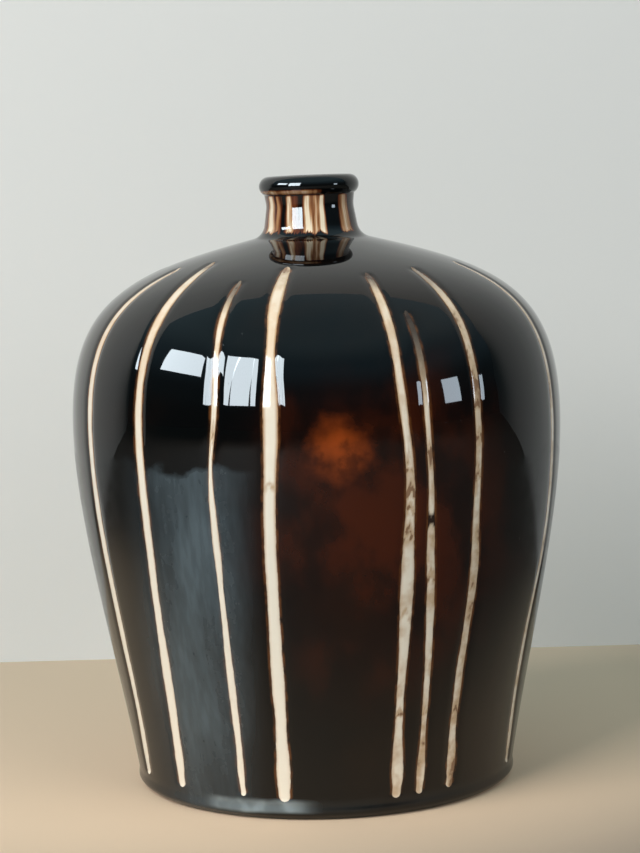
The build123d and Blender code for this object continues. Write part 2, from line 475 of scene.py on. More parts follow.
@dataclass
class SlipStripe:
    """One stripe of pale slip, lying in its groove under a thin clear glaze."""

    number: int
    outline: StripeOutline
    wall: WallLine
    relief: GlazeRelief
    rows: int = 240
    columns: int = 8
    crown: float = 0.10 * MM
    thickness: float = 0.40 * MM
    stain: float = 0.0
    fade_length: float = 12 * MM
    veil: float = 0.0
    marks: tuple[tuple[float, float, float], ...] = ()
    breaks: tuple[tuple[float, float], ...] = ()

    def _place(self, across: float, along: float) -> tuple[Vector, float]:
        """Point of the slip's face.

        Args:
            across: from -1 at the left edge to 1 at the right edge.
            along: share of the stripe's height, from its foot tip to its top tip.

        Returns:
            The point, and its height up the wall.
        """
        low, high = self.outline.low, self.outline.high
        height = low + (high - low) * along
        wall_point = self.wall.outside(height)
        left, right = self.outline.edges(height, wall_point.radius)
        if along <= 0 or along >= 1:
            left = right = (left + right) / 2
        present = self.outline.presence(height, wall_point.radius)
        bulge = self.crown * (1 - across**2) * present
        radius, level = wall_point.sunk(self.relief.valley_depth * present - bulge - 0.02 * MM)
        bearing = left + (right - left) * (across + 1) / 2
        return at_bearing(radius, bearing, level), height

    def _stain_at(self, height: float, across: float) -> float:
        """Brown stain of the slip at a place on it, from 0 to 1."""
        grain = noise.noise(Vector((self.number * 5.3, height / (1.8 * MM), across * 1.4)))
        slow = noise.noise(Vector((self.number * 2.9, height / (17 * MM), across * 0.5)))
        amount = self.stain * (1 + 0.9 * slow)
        fade = smooth_step(self.outline.high - self.fade_length, self.outline.high, height + 2 * MM * grain)
        amount = max(amount, 0.85 * fade)
        for place, reach, strength in self.marks:
            away = height - place + reach * (0.9 * abs(across) - 0.4 + 0.6 * grain)
            amount = max(amount, strength * (1.0 + 0.6 * grain) * (1 - smooth_step(0.2 * reach, reach, abs(away))))
        return min(max(amount + 0.12 * grain, 0.0), 1.15)

    def _cover_at(self, height: float, across: float) -> float:
        """How far dark glaze has run over the slip at a place on it, from 0 to 1."""
        grain = noise.noise(Vector((self.number * 7.1, height / (1.2 * MM), across * 1.8)))
        end = self.outline.high + grain * MM
        cover = self.veil * smooth_step(end - self.fade_length, end - 0.15 * self.fade_length, height)
        for place, reach in self.breaks:
            gap = reach * (0.75 + 1.1 * across**2 + 0.12 * grain)
            cover = max(cover, 1 - smooth_step(gap * 0.7, gap + 0.4 * MM, abs(height - place)))
        return cover

    def build(self, finish: bpy.types.Material) -> bpy.types.Object:
        """Makes the stripe from a grid laid along the wall, thickened inwards.

        Args:
            finish: material of the slip.

        Returns:
            The finished piece.
        """
        deselect_all()
        bpy.ops.mesh.primitive_grid_add(
            x_subdivisions=self.columns, y_subdivisions=self.rows, size=2, location=(0, 0, 0))
        piece = bpy.context.object
        across_marks, stains, covers = [], [], []
        for vertex in piece.data.vertices:
            across = vertex.co.x
            along = smooth_along((vertex.co.y + 1) / 2)
            vertex.co, height = self._place(across, along)
            across_marks.append(across)
            stains.append(self._stain_at(height, across))
            covers.append(self._cover_at(height, across))
        store_marks(piece, Mark.ACROSS, across_marks)
        store_marks(piece, Mark.STAIN, stains)
        store_marks(piece, Mark.COVER, covers)
        edit_whole(piece)
        bpy.ops.mesh.remove_doubles(threshold=MERGE_DISTANCE)
        bpy.ops.mesh.normals_make_consistent(inside=False)
        bpy.ops.object.mode_set(mode="OBJECT")
        self._face_outwards(piece)
        solidify = piece.modifiers.new("slip_thickness", "SOLIDIFY")
        solidify.thickness = self.thickness
        solidify.offset = -1
        apply_modifiers(piece)
        finish_mesh(piece, f"slip_stripe_{self.number:02d}")
        piece.data.materials.append(finish)
        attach(piece, BODY)
        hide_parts(f"stripe_{self.number:02d}")
        log.info("slip stripe %02d: %d faces", self.number, len(piece.data.polygons))
        return piece

    @staticmethod
    def _face_outwards(piece: bpy.types.Object) -> None:
        """Flips the open face of slip if it looks into the vase."""
        face = piece.data.polygons[len(piece.data.polygons) // 2]
        outwards = Vector((face.center.x, face.center.y, 0))
        if face.normal.dot(outwards) < 0:
            edit_whole(piece)
            bpy.ops.mesh.flip_normals()
            bpy.ops.object.mode_set(mode="OBJECT")


def smooth_along(share: float) -> float:
    """Spaces rows along a stripe more closely at both of its tips."""
    bunching = 0.6
    return share - bunching * math.sin(TURN * share) / TURN


@dataclass
class ThrownBody:
    """Lower body and shoulder, thrown apart and luted together, under one coat of glaze."""

    wall: WallLine
    relief: GlazeRelief
    outlines: list[StripeOutline]
    wall_thickness: float = 6.0 * MM
    floor: float = 9.0 * MM
    floor_round: float = 14.0 * MM
    ring_width: float = 10.0 * MM
    recess_depth: float = 2.5 * MM
    recess_bevel: float = 1.5 * MM
    ring_edge_round: float = 0.8 * MM
    foot_rows: int = 26
    foot_rows_share: float = 0.085
    lower_rows: int = 68
    dome_rows: int = 104
    roll_height: float = 3.4 * MM
    roll_swell: float = 0.85 * MM
    roll_fall: float = 4.0 * MM
    inner_rows: int = 20
    joint_row: float = 0.004
    bare_slope: float = -0.985
    gaps: list[int] = field(default_factory=list)

    def __post_init__(self) -> None:
        """Sorts the stripes round the wall and shares out the columns between them."""
        self.outlines.sort(key=lambda outline: outline.bearing)
        radius = self.wall.belly_radius
        for number, outline in enumerate(self.outlines):
            following = self._following(number)
            free = (following - outline.bearing) * radius - 2 * self.relief.valley_reach
            self.gaps.append(max(int(free / self.relief.gap_span), 3))

    def _following(self, number: int) -> float:
        """Bearing of the next stripe round the wall, past a full turn for the last one."""
        if number + 1 < len(self.outlines):
            return self.outlines[number + 1].bearing
        return self.outlines[0].bearing + TURN

    def columns(self) -> int:
        """Number of columns round the wall."""
        spans = self.relief.inside_spans + 2 * self.relief.valley_spans
        return sum(self.gaps) + spans * len(self.outlines)

    def ring(self, wall_point: WallPoint) -> list[tuple[float, float, float]]:
        """Bearing, depth and halo of every column at one height.

        Args:
            wall_point: point of the wall line there.

        Returns:
            One bearing, depth into the wall and halo strength a column.
        """
        radius, height = wall_point.radius, wall_point.height
        tracks = []
        for outline in self.outlines:
            left, right = outline.edges(height, radius)
            middle, half = (left + right) / 2, (right - left) / 2
            half = max(half, self.relief.least_half_width / radius)
            tracks.append((middle - half, middle + half, outline.presence(height, radius)))
        columns = []
        for number, (left, right, present) in enumerate(tracks):
            following = tracks[(number + 1) % len(tracks)]
            next_left = following[0] + (TURN if number + 1 == len(tracks) else 0)
            previous = tracks[number - 1]
            previous_right = previous[1] - (TURN if number == 0 else 0)
            reach_left = min(self.relief.valley_reach / radius, self.relief.gap_share * (left - previous_right))
            reach_right = min(self.relief.valley_reach / radius, self.relief.gap_share * (next_left - right))
            next_reach = min(self.relief.valley_reach / radius, self.relief.gap_share * (next_left - right))
            columns += self._valley(left, -reach_left, present, falling=True)
            columns += self._bed(left, right, present)
            columns += self._valley(right, reach_right, present, falling=False)
            start, end = right + reach_right, next_left - next_reach
            spans = self.gaps[number]
            columns += [(start + (end - start) * (span + 1) / (spans + 1), 0.0, 0.0) for span in range(spans)]
        return columns

    def _valley(self, edge: float, reach: float, present: float, falling: bool) -> list[tuple[float, float, float]]:
        """Columns of the valley on one side of a stripe."""
        spans = self.relief.valley_spans
        columns = []
        for span in range(spans):
            share = (span / (spans - 1)) ** 1.4 if spans > 1 else 0.0
            depth = self.relief.valley_depth * present * self.relief.falloff(share)
            columns.append((edge + reach * share, depth, present * (1 - share)))
        return columns[::-1] if falling else columns

    def _bed(self, left: float, right: float, present: float) -> list[tuple[float, float, float]]:
        """Columns of the groove that the slip hides."""
        spans = self.relief.inside_spans
        depth = self.relief.valley_depth + (self.relief.bed_depth - self.relief.valley_depth) * present
        columns = []
        for span in range(spans):
            share = (span + 0.5) / spans
            columns.append((left + (right - left) * share, depth * present, present))
        return columns

    def _foot_roll(self, bearing: float, height: float) -> float:
        """How far the glaze that pooled above the foot stands proud of the wall.

        Args:
            bearing: bearing from the front, in radians.
            height: height above the table.

        Returns:
            Its swell in metres.
        """
        if height > self.roll_height + self.roll_fall:
            return 0.0
        rise = smooth_step(0.5 * MM, self.roll_height, height)
        fall = 1 - smooth_step(self.roll_height, self.roll_height + self.roll_fall, height)
        uneven = 0.9 + 0.35 * noise.noise(Vector((2.4 * math.cos(bearing), 2.4 * math.sin(bearing), 3.1)))
        return self.roll_swell * rise * fall * uneven

    def _lower_shares(self) -> list[float]:
        """Row places along the lower wall: close rows at the foot and a very thin one at the joint."""
        shares = [self.foot_rows_share * row / self.foot_rows for row in range(self.foot_rows)]
        rest = 1 - self.foot_rows_share
        shares += [self.foot_rows_share + rest * row / self.lower_rows for row in range(self.lower_rows)]
        return shares + [1 - self.joint_row, 1.0]

    def _dome_shares(self) -> list[float]:
        """Row places along the dome, with one very thin row at the joint."""
        return [0.0, self.joint_row] + [row / self.dome_rows for row in range(1, self.dome_rows + 1)]

    def _lower_section(self) -> tuple[list[Point], list[WallPoint]]:
        """Section of the lower body.

        Returns:
            The ring of points, and the wall points of its first rows, which carry the relief.
        """
        wall = self.wall
        outer = wall.controls(0, 0, wall.foot_round, dome=False)
        inner = wall.controls(self.wall_thickness, self.floor, self.floor_round, dome=False)
        relief_rows = [wall.curve_point(outer, share) for share in self._lower_shares()]
        ring = [(point.radius, point.height) for point in relief_rows]
        inner_points = [wall.curve_point(inner, 1 - row / self.inner_rows) for row in range(self.inner_rows + 1)]
        ring += [(point.radius, point.height) for point in inner_points]
        toe = inner_points[-1]
        floor_centre = (
            toe.radius - self.floor_round * math.cos(wall.flare),
            self.floor + self.floor_round,
        )
        flare_deg = math.degrees(wall.flare)
        ring += arc_points(floor_centre, self.floor_round, -flare_deg, -90, 8)[1:]
        ring += line_points((floor_centre[0] * 0.8, self.floor), (0, self.floor), 4) + [(0, self.floor)]
        foot_centre_radius = wall.foot_radius - wall.foot_round * math.cos(wall.flare)
        ring_inner = foot_centre_radius - self.ring_width
        ring += [(0, self.recess_depth), (ring_inner * 0.5, self.recess_depth)]
        inner_bevel = (ring_inner - self.recess_bevel, self.recess_depth)
        ring += rounded_corner((0, self.recess_depth), inner_bevel, (ring_inner, 0), self.ring_edge_round, 3)
        ring += rounded_corner(inner_bevel, (ring_inner, 0), (foot_centre_radius, 0), self.ring_edge_round, 4)
        ring += line_points((ring_inner + self.ring_width * 0.3, 0), (foot_centre_radius, 0), 3)
        ring += arc_points((foot_centre_radius, wall.foot_round), wall.foot_round, -90, -flare_deg, 10)[:-1]
        return ring, relief_rows

    def _shoulder_section(self) -> tuple[list[Point], list[WallPoint]]:
        """Section of the shoulder.

        Returns:
            The ring of points, and the wall points of its first rows, which carry the relief.
        """
        wall = self.wall
        outer = wall.controls(0, 0, wall.foot_round, dome=True)
        inner = wall.controls(self.wall_thickness, self.floor, self.floor_round, dome=True)
        relief_rows = [wall.curve_point(outer, share) for share in self._dome_shares()]
        ring = [(point.radius, point.height) for point in relief_rows]
        inner_points = [wall.curve_point(inner, 1 - row / self.inner_rows) for row in range(self.inner_rows + 1)]
        ring += [(point.radius, point.height) for point in inner_points]
        return ring, relief_rows

    def _shape(self, section: list[Point], relief_rows: list[WallPoint], name: str) -> bpy.types.Object:
        """Turns a section, then lays the valleys and grooves into its outer rows.

        Args:
            section: ring of points.
            relief_rows: wall points of the first rows.
            name: name of the piece.

        Returns:
            The shaped piece.
        """
        steps = self.columns()
        piece = spun_section(section, steps)
        rings = [self.ring(wall_point) for wall_point in relief_rows]
        hidden_rows = len(section) - len(rings)
        rows = piece.data.attributes["row"].data
        halos = []
        for number, vertex in enumerate(piece.data.vertices):
            row = rows[number].value
            radius = math.hypot(vertex.co.x, vertex.co.y)
            column = round(math.atan2(vertex.co.y, vertex.co.x) / TURN * steps) % steps
            if row < len(rings):
                bearing, depth, halo = rings[row][column]
                depth -= self._foot_roll(bearing, vertex.co.z)
                radius, height = relief_rows[row].sunk(depth)
                vertex.co = at_bearing(radius, bearing, height)
                halos.append(halo)
            else:
                share = (row - len(rings) + 1) / (hidden_rows + 1)
                bearing = rings[-1][column][0] * (1 - share) + rings[0][column][0] * share
                if vertex.co.z < self.roll_height and radius > self.wall.foot_radius - self.wall.foot_round:
                    radius += self._foot_roll(bearing, vertex.co.z)
                vertex.co = at_bearing(radius, bearing, vertex.co.z)
                halos.append(0.0)
        store_marks(piece, Mark.HALO, halos)
        piece.data.attributes.remove(piece.data.attributes["row"])
        finish_mesh(piece, name)
        return piece

    def _bare_foot(self, piece: bpy.types.Object, clay: bpy.types.Material) -> None:
        """Leaves the ring and the recess bare of glaze."""
        piece.data.materials.append(clay)
        for face in piece.data.polygons:
            if face.center.z < self.recess_depth * 1.1 and face.normal.z < self.bare_slope:
                face.material_index = 1

    def build(self, glaze: bpy.types.Material, clay: bpy.types.Material) -> list[bpy.types.Object]:
        """Makes both sections of the body.

        Args:
            glaze: dark glaze of the wall.
            clay: bare clay of the foot.

        Returns:
            The lower body and the shoulder.
        """
        lower = self._shape(*self._lower_section(), "glazed_lower_body")
        lower.data.materials.append(glaze)
        self._bare_foot(lower, clay)
        shoulder = self._shape(*self._shoulder_section(), "glazed_shoulder")
        shoulder.data.materials.append(glaze)
        for piece, node in ((lower, "lower_body"), (shoulder, "shoulder")):
            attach(piece, BODY)
            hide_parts(node)
            log.info("%s: %d faces", piece.name, len(piece.data.polygons))
        return [lower, shoulder]


@dataclass(frozen=True)
class SlipRun:
    """One run of slip down the neck: its bearing, half width and brightness."""

    bearing_deg: float
    half_width_deg: float
    strength: float


@dataclass
class CollarNeck:
    """Thrown collar with a rolled lip, streaked with runs of slip."""

    wall: WallLine
    wall_thickness: float = 6.0 * MM
    overall_height: float = 280.0 * MM
    waist_radius: float = 20.0 * MM
    waist_drop: float = 5.0 * MM
    waist_round: float = 12.0 * MM
    root_corner_radius: float = 22.2 * MM
    root_fillet: float = 7.5 * MM
    lip_radius: float = 23.0 * MM
    lip_roll: float = 4.6 * MM
    lip_crease_deg: float = 60.0
    throat_radius: float = 14.5 * MM
    throat_round: float = 6.0 * MM
    lip_tilt: float = math.radians(0.8)
    lean: float = -0.6 * MM
    steps: int = 360
    runs: tuple[SlipRun, ...] = (
        SlipRun(-72, 26, 0.34), SlipRun(-59, 8, 1.0), SlipRun(-45, 5, 0.52), SlipRun(-27, 5, 0.86),
        SlipRun(-19, 7, 0.34), SlipRun(6, 17, 0.46), SlipRun(-3, 5.5, 1.0), SlipRun(7, 4, 0.66),
        SlipRun(15.5, 5, 0.95), SlipRun(48, 9.5, 0.72), SlipRun(50, 15, 0.26),
        SlipRun(76, 6, 0.22), SlipRun(101, 7, 0.9), SlipRun(114, 4, 0.5), SlipRun(133, 6, 1.0),
        SlipRun(146, 5, 0.55), SlipRun(168, 7, 0.95), SlipRun(181, 5, 0.5), SlipRun(193, 5, 0.85),
        SlipRun(218, 7, 0.7), SlipRun(237, 5, 0.95), SlipRun(248, 5, 0.5), SlipRun(262, 6, 0.85),
    )
    shade_deg: Point = (20.0, 38.0)

    def _section(self) -> list[Point]:
        """Ring of points of the neck's section, starting at the root of its outer line."""
        wall = self.wall
        root = (wall.root_radius, wall.root_height)
        seat = (
            wall.root_radius - self.wall_thickness * math.sin(wall.slope),
            wall.root_height - self.wall_thickness * math.cos(wall.slope),
        )
        roll_radius = self.lip_radius - self.lip_roll
        roll_height = self.overall_height - self.lip_roll
        crease_angle = math.radians(self.lip_crease_deg)
        crease = (
            roll_radius + self.lip_roll * math.cos(crease_angle),
            roll_height - self.lip_roll * math.sin(crease_angle),
        )
        corner = (
            self.root_corner_radius,
            root[1] + (root[0] - self.root_corner_radius) * math.tan(wall.slope),
        )
        waist = (self.waist_radius, crease[1] - self.waist_drop)
        inner_round = roll_radius - self.throat_radius
        mouth = (roll_radius, self.overall_height - inner_round)
        turn = (self.throat_radius, seat[1] + (seat[0] - self.throat_radius) * math.tan(wall.slope))
        root_arc = rounded_corner(root, corner, waist, self.root_fillet, 12)
        waist_arc = rounded_corner(corner, waist, crease, self.waist_round, 12)
        throat_arc = rounded_corner((self.throat_radius, mouth[1]), turn, seat, self.throat_round, 6)
        ring = [root] + [self._between(root, root_arc[0], share) for share in (0.02, 0.25, 0.5, 0.75)]
        ring += root_arc
        ring += line_points(root_arc[-1], waist_arc[0], 6)[1:]
        ring += waist_arc
        ring += line_points(waist_arc[-1], crease, 4)[1:]
        ring += arc_points((roll_radius, roll_height), self.lip_roll, -self.lip_crease_deg, 90, 22)
        ring += arc_points(mouth, inner_round, 90, 180, 8)[1:]
        ring += line_points(ring[-1], throat_arc[0], 5)[1:]
        ring += throat_arc
        ring += [seat]
        return ring

    @staticmethod
    def _between(start: Point, end: Point, share: float) -> Point:
        """Point between two others."""
        return start[0] + (end[0] - start[0]) * share, start[1] + (end[1] - start[1]) * share

    def _streak(self, degrees: float, height: float, up: float) -> float:
        """How strongly the runs of slip show on the collar.

        Args:
            degrees: bearing from the front.
            height: height above the table.
            up: share of the way from the foot of the runs to the crease under the lip.

        Returns:
            The strength, from 0 to 1.
        """
        amount = 0.0
        for run in self.runs:
            away = (degrees - run.bearing_deg + 180) % 360 - 180
            drift = 2.2 * noise.noise(Vector((run.bearing_deg, height / (9 * MM), 0)))
            half = run.half_width_deg * (1.25 - 0.45 * up)
            amount = max(amount, run.strength * math.exp(-abs((away - drift) / half) ** 2.1))
        wide = noise.noise(Vector((degrees / 4.2, height / (24 * MM), 4)))
        fine = noise.noise(Vector((degrees / 1.5, height / (16 * MM), 7)))
        low, high = self.shade_deg
        shade = smooth_step(low - 3, low + 2, degrees) * (1 - smooth_step(high - 2, high + 3, degrees))
        amount = max(amount, 0.12 + 0.16 * wide) * (1 + 0.5 * fine)
        return max(amount, 0.0) * (1 - 0.9 * shade)

    def _roll_slip_and_painted_highlight(self, degrees: float, above: float) -> float:
        """How strongly slip shows on the underside of the lip's roll, this far above the crease, with a painted
        highlight that makes it strongest on the left front.
        """
        # Painted highlight: the band is full on the left front, fades out towards the right and is weaker round the
        # back.
        side = smooth_step(-112, -84, degrees) * (1 - smooth_step(4, 22, degrees))
        side = max(side, 0.55 * smooth_step(110, 150, abs(degrees)))
        patchy = 0.62 + 0.40 * noise.noise(Vector((degrees / 11, 0, 2)))
        patchy += 0.20 * noise.noise(Vector((degrees / 3, 0, 6)))
        return side * patchy * (1 - smooth_step(1.5 * MM, 2.8 * MM, above))

    def _run_at(self, bearing: float, height: float) -> float:
        """How strongly the slip shows on the neck: 0 is dark glaze and 1 is full cream; it is darkened along the
        crease under the lip as painted shade.

        Args:
            bearing: bearing from the front, in radians.
            height: height above the table.

        Returns:
            The strength, from 0 to 1.
        """
        degrees = math.degrees(bearing)
        coarse = 1.3 * MM * noise.noise(Vector((degrees / 7, 0, 9)))
        teeth = 1.2 * MM * noise.noise(Vector((degrees / 1.7, 0, 5)))
        foot = self.wall.root_height + 3.9 * MM + coarse + teeth
        crease = self.overall_height - self.lip_roll * (1 + math.sin(math.radians(self.lip_crease_deg)))
        up = min(max((height - foot) / (crease - foot), 0), 1)
        on_roll = smooth_step(crease - 0.3 * MM, crease + 0.3 * MM, height)
        amount = self._streak(degrees, height, up) * smooth_step(foot, foot + 1.0 * MM, height)
        amount = amount * (1 - on_roll) + self._roll_slip_and_painted_highlight(degrees, height - crease) * on_roll
        # Painted shade: a dark line along the crease under the lip's roll.
        return amount * (1 - 0.75 * math.exp(-((height - crease) / (0.45 * MM)) ** 2))

    def build(self, glaze: bpy.types.Material) -> bpy.types.Object:
        """Makes the neck.

        Args:
            glaze: glaze with runs of slip.

        Returns:
            The finished neck.
        """
        piece = spun_section(self._section(), self.steps)
        runs = []
        for vertex in piece.data.vertices:
            radius = math.hypot(vertex.co.x, vertex.co.y)
            place = at_bearing(radius, math.atan2(vertex.co.y, vertex.co.x), vertex.co.z)
            outside = radius > self.throat_radius + self.wall_thickness * 0.55
            runs.append(self._run_at(bearing_of(place), place.z) if outside else 0.0)
            swing = smooth_step(self.wall.root_height, self.overall_height, place.z)
            place.x += self.lean * swing
            place.z += place.x * math.tan(self.lip_tilt) * swing
            vertex.co = place
        store_marks(piece, Mark.RUN, runs)
        piece.data.attributes.remove(piece.data.attributes["row"])
        finish_mesh(piece, "streaked_neck")
        piece.data.materials.append(glaze)
        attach(piece, BODY)
        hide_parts("neck")
        log.info("%s: %d faces", piece.name, len(piece.data.polygons))
        return piece


class NodeBoard:
    """Lays out shader nodes and links them."""

    def __init__(self, tree: bpy.types.NodeTree) -> None:
        """Starts on a tree.

        Args:
            tree: the node tree to fill.
        """
        self.tree = tree

    def add(self, kind: str, **settings: object) -> bpy.types.Node:
        """Adds a node and sets its properties and inputs.

        Args:
            kind: the node's type.
            settings: properties by name, and inputs as a dict under inputs.

        Returns:
            The new node.
        """
        node = self.tree.nodes.new(kind)
        inputs = settings.pop("inputs", {})
        for name, value in settings.items():
            setattr(node, name, value)
        for name, value in inputs.items():
            socket = node.inputs[name]
            if isinstance(value, bpy.types.NodeSocket):
                self.tree.links.new(value, socket)
            else:
                socket.default_value = value
        return node

    def mix(self, mask: object, low: object, high: object) -> bpy.types.NodeSocket:
        """Mixes two colours by a mask."""
        node = self.add("ShaderNodeMix", data_type="RGBA")
        for socket, value in zip((node.inputs[0], node.inputs[6], node.inputs[7]), (mask, low, high)):
            if isinstance(value, bpy.types.NodeSocket):
                self.tree.links.new(value, socket)
            elif isinstance(value, tuple):
                socket.default_value = (*value, 1)
            else:
                socket.default_value = value
        return node.outputs[2]

    def math(self, operation: str, first: object, second: object = 0.0) -> bpy.types.NodeSocket:
        """Works out a sum on two values, held between 0 and 1."""
        node = self.add("ShaderNodeMath", operation=operation, use_clamp=True)
        for socket, value in zip(node.inputs, (first, second)):
            if isinstance(value, bpy.types.NodeSocket):
                self.tree.links.new(value, socket)
            else:
                socket.default_value = value
        return node.outputs[0]

    def ease(self, value: bpy.types.NodeSocket, low: float, high: float,
             to_low: float = 0.0, to_high: float = 1.0) -> bpy.types.NodeSocket:
        """Eases a value from one range to another."""
        node = self.add("ShaderNodeMapRange", interpolation_type="SMOOTHSTEP", inputs={
            "Value": value, "From Min": low, "From Max": high, "To Min": to_low, "To Max": to_high})
        return node.outputs[0]

    def mark(self, mark: Mark) -> bpy.types.NodeSocket:
        """Reads a value that the mesh carries."""
        return self.add("ShaderNodeAttribute", attribute_name=mark.value).outputs["Fac"]

    def place(self) -> bpy.types.NodeSocket:
        """Position on the piece, in metres."""
        return self.add("ShaderNodeTexCoord").outputs["Object"]

    def stretched(self, place: bpy.types.NodeSocket, scale: tuple[float, float, float]) -> bpy.types.NodeSocket:
        """Position with its axes scaled, so that a pattern runs longer along one of them."""
        return self.add("ShaderNodeMapping", inputs={"Vector": place, "Scale": scale}).outputs[0]

    def warped(self, place: bpy.types.NodeSocket, scale: float, reach: float) -> bpy.types.NodeSocket:
        """Position that noise pushes about by up to half a reach, so that an edge drawn on it wanders."""
        clouds = self.add("ShaderNodeTexNoise", inputs={"Vector": place, "Scale": scale, "Detail": 4.0})
        push = self.add("ShaderNodeVectorMath", operation="SUBTRACT", inputs={0: clouds.outputs["Color"]})
        push.inputs[1].default_value = (0.5, 0.5, 0.5)
        moved = self.add("ShaderNodeVectorMath", operation="MULTIPLY_ADD", inputs={
            0: push.outputs[0], 1: (reach, reach, reach), 2: place})
        return moved.outputs[0]

    def near(self, place: bpy.types.NodeSocket, centre: tuple[float, float, float],
             outer: float, inner: float) -> bpy.types.NodeSocket:
        """Mask that rises from 0 at the outer distance from a point to 1 at the inner one."""
        away = self.add("ShaderNodeVectorMath", operation="DISTANCE", inputs={0: place})
        away.inputs[1].default_value = centre
        return self.ease(away.outputs["Value"], outer, inner)

    def bump(self, height: bpy.types.NodeSocket, strength: float, distance: float,
             under: bpy.types.NodeSocket | None = None) -> bpy.types.NodeSocket:
        """Normal that a height gives, over another bump if there is one."""
        inputs = {"Height": height, "Strength": strength, "Distance": distance}
        if under is not None:
            inputs["Normal"] = under
        return self.add("ShaderNodeBump", inputs=inputs).outputs[0]

    def surface(self, **inputs: object) -> None:
        """Ends the material in one Principled BSDF with these inputs."""
        shader = self.add("ShaderNodeBsdfPrincipled", inputs=inputs)
        output = self.add("ShaderNodeOutputMaterial")
        self.tree.links.new(shader.outputs[0], output.inputs[0])


def new_group(name: str, inputs: dict[str, float], outputs: dict[str, str],
              fill: Callable[[NodeBoard, bpy.types.Node, bpy.types.Node], None]) -> bpy.types.NodeTree:
    """Makes a shader node group.

    Args:
        name: name of the group.
        inputs: its float inputs and their starting values.
        outputs: its outputs and their socket types.
        fill: function that lays its nodes between the two end nodes.

    Returns:
        The group.
    """
    group = bpy.data.node_groups.new(name, "ShaderNodeTree")
    group.interface.new_socket("Place", in_out="INPUT", socket_type="NodeSocketVector")
    for label, value in inputs.items():
        socket = group.interface.new_socket(label, in_out="INPUT", socket_type="NodeSocketFloat")
        socket.default_value = value
    for label, kind in outputs.items():
        group.interface.new_socket(label, in_out="OUTPUT", socket_type=kind)
    board = NodeBoard(group)
    fill(board, board.add("NodeGroupInput"), board.add("NodeGroupOutput"))
    return group


def fill_mottle(board: NodeBoard, start: bpy.types.Node, end: bpy.types.Node) -> None:
    """Cloudy fired mottle: noise eased between two levels."""
    clouds = board.add("ShaderNodeTexNoise", inputs={
        "Vector": start.outputs["Place"], "Scale": start.outputs["Scale"], "Detail": start.outputs["Detail"]})
    eased = board.add("ShaderNodeMapRange", interpolation_type="SMOOTHSTEP", inputs={
        "Value": clouds.outputs["Fac"], "From Min": start.outputs["Low"], "From Max": start.outputs["High"]})
    board.tree.links.new(eased.outputs[0], end.inputs["Mask"])


def fill_pinholes(board: NodeBoard, start: bpy.types.Node, end: bpy.types.Node) -> None:
    """Few small pits in the glaze, with a shallow orange-peel swell between them."""
    cells = board.add("ShaderNodeTexVoronoi", inputs={
        "Vector": start.outputs["Place"], "Scale": start.outputs["Spacing"]})
    rare = board.add("ShaderNodeTexNoise", inputs={"Vector": start.outputs["Place"], "Scale": 55.0})
    pit = board.ease(cells.outputs["Distance"], 0.03, 0.075)
    picked = board.ease(rare.outputs["Fac"], 0.60, 0.64)
    depth = board.math("MULTIPLY", board.math("SUBTRACT", 1.0, pit), picked)
    swell = board.add("ShaderNodeTexNoise", inputs={
        "Vector": start.outputs["Place"], "Scale": start.outputs["Swell"], "Detail": 1.0})
    soft = board.math("MULTIPLY", swell.outputs["Fac"], 0.35)
    height = board.math("SUBTRACT", board.math("ADD", soft, 0.6), board.math("MULTIPLY", depth, 0.6))
    board.tree.links.new(height, end.inputs["Height"])
    board.tree.links.new(depth, end.inputs["Pit"])


class SharedEffects:
    """Node groups that more than one finish uses."""

    def __init__(self) -> None:
        """Builds the groups once."""
        self.mottle = new_group(
            "fired_mottle", {"Scale": 20.0, "Detail": 3.0, "Low": 0.4, "High": 0.6},
            {"Mask": "NodeSocketFloat"}, fill_mottle)
        self.pinholes = new_group(
            "glaze_pinholes", {"Spacing": 260.0, "Swell": 70.0},
            {"Height": "NodeSocketFloat", "Pit": "NodeSocketFloat"}, fill_pinholes)

    def mottled(self, board: NodeBoard, place: bpy.types.NodeSocket, scale: float,
                low: float, high: float, detail: float = 3.0) -> bpy.types.NodeSocket:
        """Places the mottle in a material and returns its mask."""
        node = board.add("ShaderNodeGroup", node_tree=self.mottle, inputs={
            "Place": place, "Scale": scale, "Detail": detail, "Low": low, "High": high})
        return node.outputs["Mask"]

    def pitted(self, board: NodeBoard, place: bpy.types.NodeSocket, spacing: float,
               swell: float) -> bpy.types.Node:
        """Places the pinholes in a material and returns their node."""
        return board.add("ShaderNodeGroup", node_tree=self.pinholes, inputs={
            "Place": place, "Spacing": spacing, "Swell": swell})


def new_material(name: str) -> tuple[bpy.types.Material, NodeBoard]:
    """Makes an empty node material.

    Args:
        name: name of the material.

    Returns:
        The material and a board on its tree.
    """
    material = bpy.data.materials.new(name)
    material.use_nodes = True
    material.node_tree.nodes.clear()
    return material, NodeBoard(material.node_tree)


